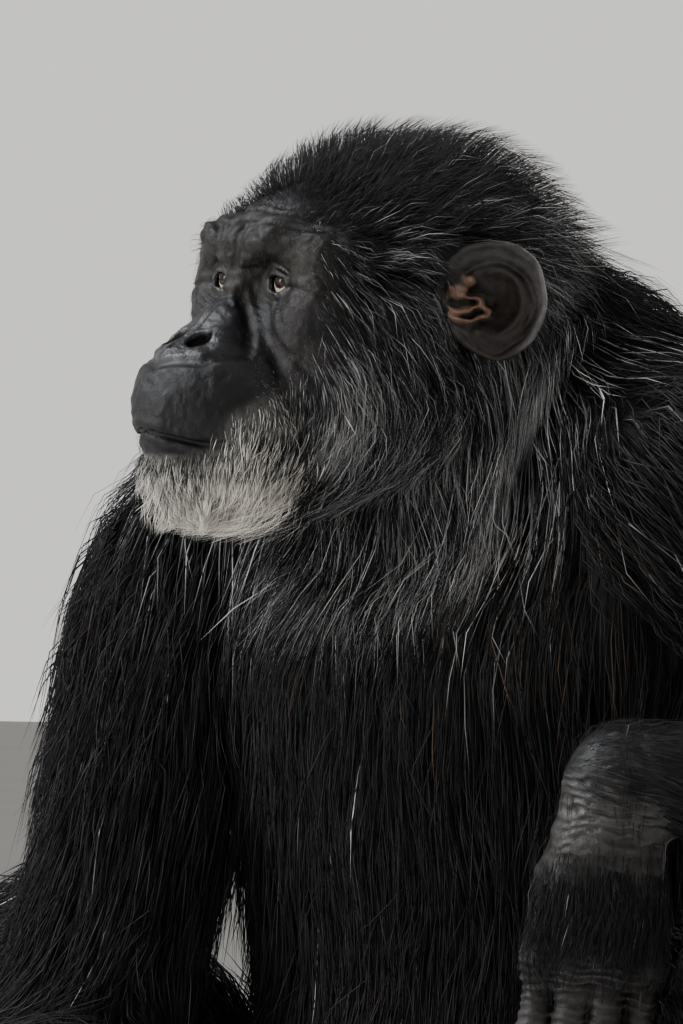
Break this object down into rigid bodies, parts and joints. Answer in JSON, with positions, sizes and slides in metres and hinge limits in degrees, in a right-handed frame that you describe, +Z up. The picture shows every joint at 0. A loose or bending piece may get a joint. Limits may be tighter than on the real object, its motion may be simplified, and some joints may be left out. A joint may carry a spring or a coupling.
{
  "type": "chimpanzee",
  "caption": "Still, life-size adult chimpanzee seated on its rump, knees raised, one forearm over the left knee and the right hand on the floor.",
  "frame": {"origin": "centre of the small flat under the rump, on the floor the animal sits on", "axes": "+Z up, the chest faces -Y, the left side of the body is +X; the head is turned about 18 degrees to its right"},
  "size_m": [0.7452, 0.68, 0.7801],
  "materials": {
    "coat": "long, coarse, glossy black hair with silver hairs on the cheeks, nape and shoulders and a cream beard",
    "skin": "dark grey-brown bare skin, wrinkled, slightly shiny",
    "eye": "wet, dark brown iris with a pale cream eye white below it"
  },
  "bodies": {
    "root": {"neck": "coat", "torso": "coat", "upper_arm_left": "coat", "upper_arm_right": "coat", "forearm_left": "coat", "forearm_right": "coat", "thigh_left": "coat", "thigh_right": "coat", "lower_leg_left": "coat", "lower_leg_right": "coat", "head": "skin", "ear_left": "skin", "ear_right": "skin", "hand_left": "skin", "hand_right": "skin", "foot_left": "skin", "foot_right": "skin", "eye_left": "eye", "eye_right": "eye"}
  },
  "joints": []
}
